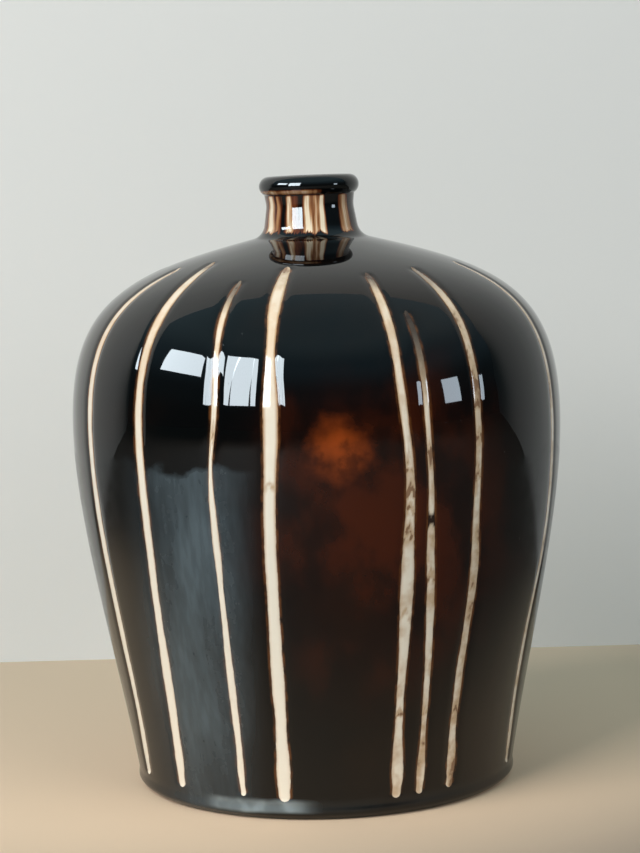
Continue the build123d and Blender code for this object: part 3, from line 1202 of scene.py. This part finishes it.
@dataclass(frozen=True)
class DarkGlaze:
    """Near-black iron glaze that breaks to red-brown where it is thin."""

    effects: SharedEffects
    black: Colour = (0.0010, 0.0012, 0.0013)
    brown: Colour = (0.0070, 0.0034, 0.0018)
    warm: Colour = (0.052, 0.0088, 0.0016)
    amber: Colour = (0.25, 0.044, 0.006)
    sienna: Colour = (0.135, 0.048, 0.013)
    # Colour of the painted blue-grey reflection low on the left of the wall.
    painted_reflection: Colour = (0.074, 0.101, 0.117)
    # Colour of the painted highlight on the glaze roll above the foot.
    painted_foot_highlight: Colour = (0.27, 0.325, 0.345)
    warm_centre: tuple[float, float, float] = (0.032, -0.104, 0.128)
    amber_centre: tuple[float, float, float] = (0.008, -0.112, 0.1655)
    refraction: float = 1.43

    def build(self) -> bpy.types.Material:
        """Makes the material."""
        material, board = new_material("dark_iron_glaze")
        place = board.place()
        # veil masks the painted blue-grey reflection in the colour and the haze in the roughness.
        veil = self._painted_reflection_and_haze(board, place)
        clouds = self.effects.mottled(board, place, 15.0, 0.44, 0.74, 4.0)
        colour = board.mix(clouds, self.black, self.brown)
        colour = board.mix(self._warm_zone(board, place), colour, self.warm)
        colour = board.mix(self._amber_spot(board, place), colour, self.amber)
        halo = board.mark(Mark.HALO)
        ragged = self.effects.mottled(board, place, 170.0, 0.30, 0.72)
        edge = board.ease(halo, 0.52, 0.96)
        colour = board.mix(board.math("MULTIPLY", edge, board.ease(ragged, 0, 1, 0.15, 0.95)), colour, self.sienna)
        # Painted reflection: a blue-grey sheen mixed into the colour low on the left of the wall.
        colour = board.mix(veil, colour, self.painted_reflection)
        # Painted highlight: a pale blue-grey glint on the glaze roll above the foot, strongest on the left.
        colour = board.mix(self._painted_foot_highlight_mask(board, place), colour, self.painted_foot_highlight)
        pits = self.effects.pitted(board, place, 190.0, 42.0)
        normal = board.bump(pits.outputs["Height"], 0.35, 0.4 * MM)
        board.surface(**{
            "Base Color": colour, "Roughness": self._roughness(board, place, veil), "IOR": self.refraction,
            "Normal": normal})
        return material

    def _warm_zone(self, board: NodeBoard, place: bpy.types.NodeSocket) -> bpy.types.NodeSocket:
        """Mask of the red-brown zone low on the front, where the glaze ran thin."""
        near = board.near(board.warped(place, 22.0, 0.06), self.warm_centre, 0.088, 0.008)
        cloud = self.effects.mottled(board, board.stretched(place, (1, 1, 0.7)), 42.0, 0.36, 0.64, 6.0)
        return board.math("MULTIPLY", near, board.ease(cloud, 0, 1, 0.22, 1.0))

    def _amber_spot(self, board: NodeBoard, place: bpy.types.NodeSocket) -> bpy.types.NodeSocket:
        """Mask of the amber glow at the top of that zone."""
        near = board.near(board.warped(place, 60.0, 0.024), self.amber_centre, 0.0175, 0.002)
        cloud = self.effects.mottled(board, place, 95.0, 0.34, 0.62, 5.0)
        return board.math("MULTIPLY", near, board.ease(cloud, 0, 1, 0.35, 1.0))

    def _painted_foot_highlight_mask(self, board: NodeBoard, place: bpy.types.NodeSocket) -> bpy.types.NodeSocket:
        """Mask of a painted milky blue-grey highlight on the glaze roll just above the foot, most of all on the left.
        """
        parts = board.add("ShaderNodeSeparateXYZ", inputs={0: board.warped(place, 55.0, 0.0022)})
        level = board.math("MULTIPLY", board.ease(parts.outputs["Z"], 0.0104, 0.0076),
                           board.ease(parts.outputs["Z"], 0.0026, 0.0046))
        side = board.math("MULTIPLY", board.ease(parts.outputs["X"], 0.003, -0.026),
                          board.ease(parts.outputs["X"], -0.058, -0.040))
        patchy = self.effects.mottled(board, place, 48.0, 0.36, 0.60)
        side = board.math("MULTIPLY", board.ease(side, 0, 1, 0.02, 0.95), board.ease(patchy, 0, 1, 0.45, 1.0))
        return board.math("MULTIPLY", level, side)

    def _low(self, board: NodeBoard, place: bpy.types.NodeSocket) -> bpy.types.NodeSocket:
        """Mask of the wall below the belly, with a ragged upper edge."""
        parts = board.add("ShaderNodeSeparateXYZ", inputs={0: place})
        edge = board.add("ShaderNodeTexNoise", inputs={"Vector": place, "Scale": 38.0, "Detail": 4.0})
        wander = board.add("ShaderNodeMath", operation="MULTIPLY_ADD", inputs={
            0: edge.outputs["Fac"], 1: 0.030, 2: parts.outputs["Z"]})
        return board.ease(wander.outputs[0], 0.1745, 0.1705)

    def _painted_reflection_and_haze(self, board: NodeBoard, place: bpy.types.NodeSocket) -> bpy.types.NodeSocket:
        """Mask of the thin blue-grey painted reflection that runs down the left of the lower wall; the same mask
        makes the glaze hazier there.
        """
        parts = board.add("ShaderNodeSeparateXYZ", inputs={0: place})
        left = board.math("MULTIPLY", board.ease(parts.outputs["X"], -0.024, -0.049),
                          board.ease(parts.outputs["X"], -0.088, -0.056))
        front = board.ease(parts.outputs["Y"], -0.030, -0.070)
        grain = self.effects.mottled(board, board.stretched(place, (1, 1, 0.14)), 430.0, 0.30, 0.72, 5.0)
        broad = self.effects.mottled(board, board.stretched(place, (1, 1, 0.30)), 62.0, 0.30, 0.70, 3.0)
        front = board.math("MULTIPLY", front, board.ease(parts.outputs["Z"], 0.0, 0.05, 0.62, 1.0))
        painted_reflection = board.math("MULTIPLY", board.math("MULTIPLY", left, front), self._low(board, place))
        texture = board.math("MULTIPLY", board.ease(grain, 0, 1, 0.78, 1.0), board.ease(broad, 0, 1, 0.56, 1.0))
        return board.math("MULTIPLY", painted_reflection, texture)

    def _roughness(self, board: NodeBoard, place: bpy.types.NodeSocket,
                   veil: bpy.types.NodeSocket) -> bpy.types.NodeSocket:
        """Roughness: mirror bright above the belly, satin below it and hazy under the painted blue-grey reflection.
        """
        film = self.effects.mottled(board, place, 150.0, 0.35, 0.70, 3.0)
        satin = board.math("MULTIPLY", self._low(board, place), board.ease(film, 0, 1, 0.13, 0.18))
        haze = board.math("MULTIPLY", veil, 0.20)
        return board.math("ADD", board.math("ADD", satin, haze), 0.025)


@dataclass(frozen=True)
class SlipFinish:
    """Ivory slip under clear glaze, peach on the dome, with brown stains and tawny edges."""

    effects: SharedEffects
    ivory: Colour = (0.90, 0.84, 0.72)
    peach: Colour = (0.72, 0.49, 0.29)
    gold: Colour = (0.46, 0.235, 0.085)
    buff: Colour = (0.58, 0.42, 0.27)
    tawny: Colour = (0.19, 0.088, 0.042)
    dark: Colour = (0.018, 0.007, 0.004)
    refraction: float = 1.55

    def build(self) -> bpy.types.Material:
        """Makes the material."""
        material, board = new_material("ivory_slip")
        place = board.place()
        stain = board.mark(Mark.STAIN)
        blotches = self.effects.mottled(board, place, 120.0, 0.30, 0.72, 4.0)
        stained = board.math("MULTIPLY", stain, board.ease(blotches, 0, 1, 0.55, 1.3))
        height = board.add("ShaderNodeSeparateXYZ", inputs={0: board.warped(place, 40.0, 0.03)}).outputs["Z"]
        across = board.math("ABSOLUTE", self._signed(board))
        warmth = board.math("MULTIPLY", board.ease(height, 0.150, 0.225, 0.06, 0.80),
                            board.ease(blotches, 0, 1, 0.60, 1.0))
        colour = board.mix(warmth, self.ivory, self.peach)
        soft_rim = board.math("MULTIPLY", board.ease(across, 0.45, 1.0), board.ease(height, 0.090, 0.170, 0.25, 0.85))
        colour = board.mix(soft_rim, colour, self.gold)
        colour = board.mix(board.ease(stained, 0.0, 0.75), colour, self.buff)
        colour = board.mix(board.ease(stained, 0.72, 1.1), colour, self.tawny)
        rim = board.ease(across, 0.80, 1.0)
        worn = self.effects.mottled(board, place, 260.0, 0.30, 0.70)
        colour = board.mix(board.math("MULTIPLY", rim, board.ease(worn, 0, 1, 0.20, 0.85)), colour, self.tawny)
        colour = board.mix(board.mark(Mark.COVER), colour, self.dark)
        pits = self.effects.pitted(board, place, 240.0, 90.0)
        board.surface(**{
            "Base Color": colour, "Roughness": board.ease(blotches, 0.0, 1.0, 0.05, 0.10),
            "IOR": self.refraction, "Normal": board.bump(pits.outputs["Height"], 0.30, 0.4 * MM)})
        return material

    @staticmethod
    def _signed(board: NodeBoard) -> bpy.types.NodeSocket:
        """Place across the stripe, from -1 to 1."""
        return board.mark(Mark.ACROSS)


@dataclass(frozen=True)
class NeckGlaze:
    """Dark glaze on the collar, breaking over runs of slip."""

    effects: SharedEffects
    dark: Colour = (0.0016, 0.0017, 0.0017)
    sienna: Colour = (0.13, 0.030, 0.009)
    tan: Colour = (0.46, 0.235, 0.105)
    cream: Colour = (0.86, 0.73, 0.54)
    refraction: float = 1.5

    def build(self) -> bpy.types.Material:
        """Makes the material."""
        material, board = new_material("streaked_neck_glaze")
        place = board.place()
        # The run mark also carries the painted crease shade and the painted highlight under the lip.
        run = board.mark(Mark.RUN)
        colour = board.mix(board.ease(run, 0.10, 0.36), self.dark, self.sienna)
        colour = board.mix(board.ease(run, 0.32, 0.62), colour, self.tan)
        colour = board.mix(board.ease(run, 0.58, 0.94), colour, self.cream)
        pits = self.effects.pitted(board, place, 240.0, 90.0)
        film = self.effects.mottled(board, place, 90.0, 0.35, 0.70, 5.0)
        board.surface(**{
            "Base Color": colour, "Roughness": board.ease(film, 0, 1, 0.025, 0.06), "IOR": self.refraction,
            "Normal": board.bump(pits.outputs["Height"], 0.15, 0.3 * MM)})
        return material


@dataclass(frozen=True)
class BareClay:
    """Unglazed buff stoneware of the foot ring and its recess."""

    effects: SharedEffects
    buff: Colour = (0.36, 0.25, 0.16)
    toasted: Colour = (0.21, 0.115, 0.062)
    speck: Colour = (0.05, 0.03, 0.02)

    def build(self) -> bpy.types.Material:
        """Makes the material."""
        material, board = new_material("bare_stoneware")
        place = board.place()
        toast = self.effects.mottled(board, place, 28.0, 0.35, 0.70)
        colour = board.mix(toast, self.buff, self.toasted)
        specks = self.effects.mottled(board, place, 620.0, 0.66, 0.72, 2.0)
        colour = board.mix(specks, colour, self.speck)
        grain = board.add("ShaderNodeTexNoise", inputs={"Vector": place, "Scale": 900.0, "Detail": 4.0})
        bump = board.add("ShaderNodeBump", inputs={
            "Height": grain.outputs["Fac"], "Strength": 0.35, "Distance": 0.25 * MM})
        board.surface(**{
            "Base Color": colour, "Roughness": board.ease(grain.outputs["Fac"], 0, 1, 0.75, 0.95),
            "Normal": bump.outputs[0]})
        return material


@dataclass(frozen=True)
class Paint:
    """Matt surface of the studio, seen from its front alone, plain or with a painted pool of light round a centre and
    painted shade on its darker far part.
    """

    name: str
    colour: Colour
    painted_falloff_colour: Colour | None = None
    centre: tuple[float, float, float] = (-0.08, 0.155, 0.0)
    near_reach: float = 0.23
    far_reach: float = 0.46

    def build(self) -> bpy.types.Material:
        """Makes the material."""
        material, board = new_material(self.name)
        paint = board.add("ShaderNodeBsdfPrincipled", inputs={"Base Color": (*self.colour, 1), "Roughness": 0.9})
        if self.painted_falloff_colour is not None:
            # Painted light: the floor is lighter round the centre and darkens to the far colour, a painted pool of
            # light with painted shade beyond it.
            near = board.near(board.place(), self.centre, self.far_reach, self.near_reach)
            board.tree.links.new(board.mix(near, self.painted_falloff_colour, self.colour), paint.inputs["Base Color"])
        clear = board.add("ShaderNodeBsdfTransparent")
        back = board.add("ShaderNodeNewGeometry").outputs["Backfacing"]
        both = board.add("ShaderNodeMixShader", inputs={0: back, 1: paint.outputs[0], 2: clear.outputs[0]})
        board.add("ShaderNodeOutputMaterial", inputs={"Surface": both.outputs[0]})
        return material


@dataclass(frozen=True)
class SoftBox:
    """A soft lamp seen from the vase at a bearing and an elevation."""

    name: str
    use: LampUse
    bearing_deg: float
    elevation_deg: float
    width: float
    height: float
    radiance: float
    colour: Colour
    distance: float = 1.7
    aim_height: float = 0.17

    def build(self) -> bpy.types.Object:
        """Makes the lamp, facing the vase."""
        deselect_all()
        bearing = math.radians(self.bearing_deg)
        elevation = math.radians(self.elevation_deg)
        aim = Vector((0, 0, self.aim_height))
        place = aim + at_bearing(self.distance * math.cos(elevation), bearing, self.distance * math.sin(elevation))
        bpy.ops.object.light_add(type="AREA", location=place)
        lamp = bpy.context.object
        lamp.name = self.name
        lamp.rotation_euler = (place - aim).to_track_quat("Z", "Y").to_euler()
        lamp.data.shape = "RECTANGLE"
        lamp.data.size = self.width
        lamp.data.size_y = self.height
        lamp.data.color = self.colour
        lamp.data.energy = self.radiance * math.pi * self.width * self.height
        lamp.visible_camera = False
        lamp.visible_glossy = self.use is LampUse.REFLECTION
        lamp.visible_diffuse = self.use is LampUse.LIGHT
        return lamp


@dataclass(frozen=True)
class Camera:
    """Camera at the photograph's place, in metres and in pixels of its frame."""

    distance: float = 1.120
    height: float = 0.290
    side: float = 0.0015
    pitch_deg: float = 6.44
    roll_deg: float = 1.6
    focal_pixels: float = 2424.0
    frame_height: float = 853.0
    sensor: float = 36.0

    def build(self) -> bpy.types.Object:
        """Makes the camera and sets it as the scene's."""
        deselect_all()
        bpy.ops.object.camera_add(location=(self.side, -self.distance, self.height))
        camera = bpy.context.object
        camera.name = "photo_camera"
        look = Euler((math.radians(90 - self.pitch_deg), 0, 0)).to_quaternion()
        roll = Euler((0, 0, math.radians(-self.roll_deg))).to_quaternion()
        camera.rotation_euler = (look @ roll).to_euler()
        camera.data.sensor_width = self.sensor
        camera.data.lens = self.focal_pixels / self.frame_height * self.sensor
        camera.data.clip_start = 0.05
        bpy.context.scene.camera = camera
        return camera


@dataclass(frozen=True)
class Studio:
    """Floor with a painted pool of light and a darker painted far part, pale wall, soft lamps and a dim room."""

    wall_distance: float = 0.27
    wall_height: float = 1.2
    reach: float = 6.0
    wall_colour: Colour = (0.69, 0.69, 0.67)
    floor_colour: Colour = (0.76, 0.54, 0.36)
    # The far floor colour is painted shade: the floor darkens to it away from a painted pool of light.
    painted_falloff_floor_colour: Colour = (0.135, 0.11, 0.088)
    room: tuple[tuple[float, Colour], ...] = (
        (-0.10, (0.045, 0.047, 0.047)), (0.05, (0.045, 0.050, 0.053)), (0.22, (0.056, 0.082, 0.095)),
        (0.50, (0.15, 0.25, 0.31)), (0.80, (0.32, 0.49, 0.56)),
    )
    window: Colour = (0.82, 0.93, 1.0)
    plain: Colour = (1.0, 0.985, 0.96)

    def _lamps(self) -> list[SoftBox]:
        """The lamps: tall panes for the glaze to mirror, and two broad boxes that light the scene."""
        mirrored, light = LampUse.REFLECTION, LampUse.LIGHT
        return [
            SoftBox("window_box_far", mirrored, -67, 27.5, 0.70, 0.40, 24.0, self.window),
            SoftBox("window_box_left", mirrored, -43.5, 22.0, 0.24, 0.86, 24.0, self.window),
            SoftBox("window_box_middle", mirrored, -34.5, 22.0, 0.26, 0.86, 24.0, self.window),
            SoftBox("window_box_right", mirrored, -25.0, 22.0, 0.26, 0.86, 24.0, self.window),
            SoftBox("small_window_box", mirrored, 64, 9.5, 0.26, 0.30, 11.5, (0.75, 0.88, 1.0)),
            SoftBox("broad_key_box", light, -42, 34.0, 1.2, 1.2, 7.8, self.plain, distance=1.9),
            SoftBox("broad_fill_box", light, 42, 26.0, 1.2, 1.2, 2.6, self.plain, distance=1.9),
        ]

    def _sheet(self, name: str, place: Vector, turn_deg: float, paint: Paint) -> bpy.types.Object:
        """Lays a large plain sheet.

        Args:
            name: name of the sheet.
            place: its middle.
            turn_deg: how far it is turned up about X.
            paint: its surface.

        Returns:
            The sheet.
        """
        deselect_all()
        bpy.ops.mesh.primitive_plane_add(
            size=2 * self.reach, location=place, rotation=(math.radians(turn_deg), 0, 0))
        sheet = bpy.context.object
        sheet.name = name
        bpy.ops.object.transform_apply(location=True, rotation=True, scale=True)
        for vertex in sheet.data.vertices:
            vertex.co.z = min(max(vertex.co.z, 0), self.wall_height)
        sheet.data.materials.append(paint.build())
        return sheet

    def _room_light(self) -> None:
        """Lights the room dimly: dark round the horizon and brighter overhead."""
        world = bpy.data.worlds.new("dim_room")
        bpy.context.scene.world = world
        world.use_nodes = True
        board = NodeBoard(world.node_tree)
        direction = board.add("ShaderNodeTexCoord").outputs["Generated"]
        height = board.add("ShaderNodeSeparateXYZ", inputs={0: direction}).outputs["Z"]
        (first_height, colour), *rest = self.room
        blend, below = colour, first_height
        for above, colour in rest:
            blend = board.mix(board.ease(height, below, above), blend, colour)
            below = above
        background = world.node_tree.nodes["Background"]
        world.node_tree.links.new(blend, background.inputs["Color"])

    def build(self) -> None:
        """Makes the studio and its lamps."""
        self._sheet("floor", Vector((0, 0, 0)), 0, Paint("pale_floor", self.floor_colour, self.painted_falloff_floor_colour))
        wall = self._sheet(
            "backdrop", Vector((0, self.wall_distance, 0)), 90, Paint("pale_wall", self.wall_colour))
        wall.visible_diffuse = False
        wall.visible_shadow = False
        for lamp in self._lamps():
            lamp.build()
        self._room_light()


@dataclass
class StripedVase:
    """The whole vase: its thrown body, its neck and its slip stripes."""

    wall: WallLine = field(default_factory=WallLine)
    relief: GlazeRelief = field(default_factory=GlazeRelief)
    stains: dict[int, float] = field(default_factory=lambda: {
        3: 0.06, 5: 0.32, 6: 0.58, 7: 0.60, 8: 0.5, 9: 0.4, 11: 0.45, 13: 0.25, 16: 0.40, 18: 0.25})
    fades: dict[int, float] = field(default_factory=lambda: {
        2: 6 * MM, 3: 15 * MM, 4: 12 * MM, 5: 9 * MM, 6: 44 * MM, 7: 14 * MM, 11: 18 * MM, 15: 12 * MM})
    veils: dict[int, float] = field(default_factory=lambda: {
        2: 0.3, 3: 0.75, 5: 0.8, 6: 0.92, 7: 0.6, 10: 0.5, 11: 0.8, 14: 0.6, 16: 0.7, 18: 0.5})
    marks: dict[int, tuple[tuple[float, float, float], ...]] = field(default_factory=lambda: {
        3: ((172 * MM, 11 * MM, 0.66),),
        4: ((151 * MM, 2.6 * MM, 0.80),),
        5: ((159 * MM, 7 * MM, 0.75), (147 * MM, 5 * MM, 0.9), (139 * MM, 5 * MM, 1.0), (129 * MM, 5 * MM, 1.1),
            (116 * MM, 4 * MM, 0.35), (92 * MM, 4 * MM, 0.7), (48 * MM, 2.6 * MM, 1.1)),
        6: ((165 * MM, 5 * MM, 1.0), (109 * MM, 3.5 * MM, 1.15), (47 * MM, 2.4 * MM, 1.1)),
        7: ((205 * MM, 3 * MM, 0.9), (191 * MM, 4 * MM, 1.0), (181 * MM, 2.5 * MM, 1.1),
            (169 * MM, 4 * MM, 1.15), (151 * MM, 5 * MM, 1.1), (100 * MM, 5 * MM, 0.9), (45 * MM, 2.8 * MM, 1.1)),
    })
    breaks: dict[int, tuple[tuple[float, float], ...]] = field(default_factory=lambda: {
        6: ((133.5 * MM, 2.6 * MM),)})

    def build(self) -> None:
        """Makes and dresses every piece."""
        effects = SharedEffects()
        slip = SlipFinish(effects).build()
        nodes = sorted(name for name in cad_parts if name.startswith("stripe_"))
        outlines = [StripeOutline(node, number) for number, node in enumerate(nodes, start=1)]
        for outline in outlines:
            number = outline.number
            SlipStripe(
                number, outline, self.wall, self.relief, stain=self.stains.get(number, 0.0),
                fade_length=self.fades.get(number, 12 * MM), veil=self.veils.get(number, 0.0),
                marks=self.marks.get(number, ()),
                breaks=self.breaks.get(number, ()),
            ).build(slip)
        glaze = DarkGlaze(effects).build()
        ThrownBody(self.wall, self.relief, outlines).build(glaze, BareClay(effects).build())
        CollarNeck(self.wall).build(NeckGlaze(effects).build())


def main() -> None:
    """Builds the vase, then the studio and the camera round it."""
    logging.basicConfig(level=logging.INFO, format="%(name)s: %(message)s")
    StripedVase().build()
    Studio().build()
    Camera().build()
    bpy.context.scene.view_settings.view_transform = "Standard"


if __name__ == "__main__":
    main()
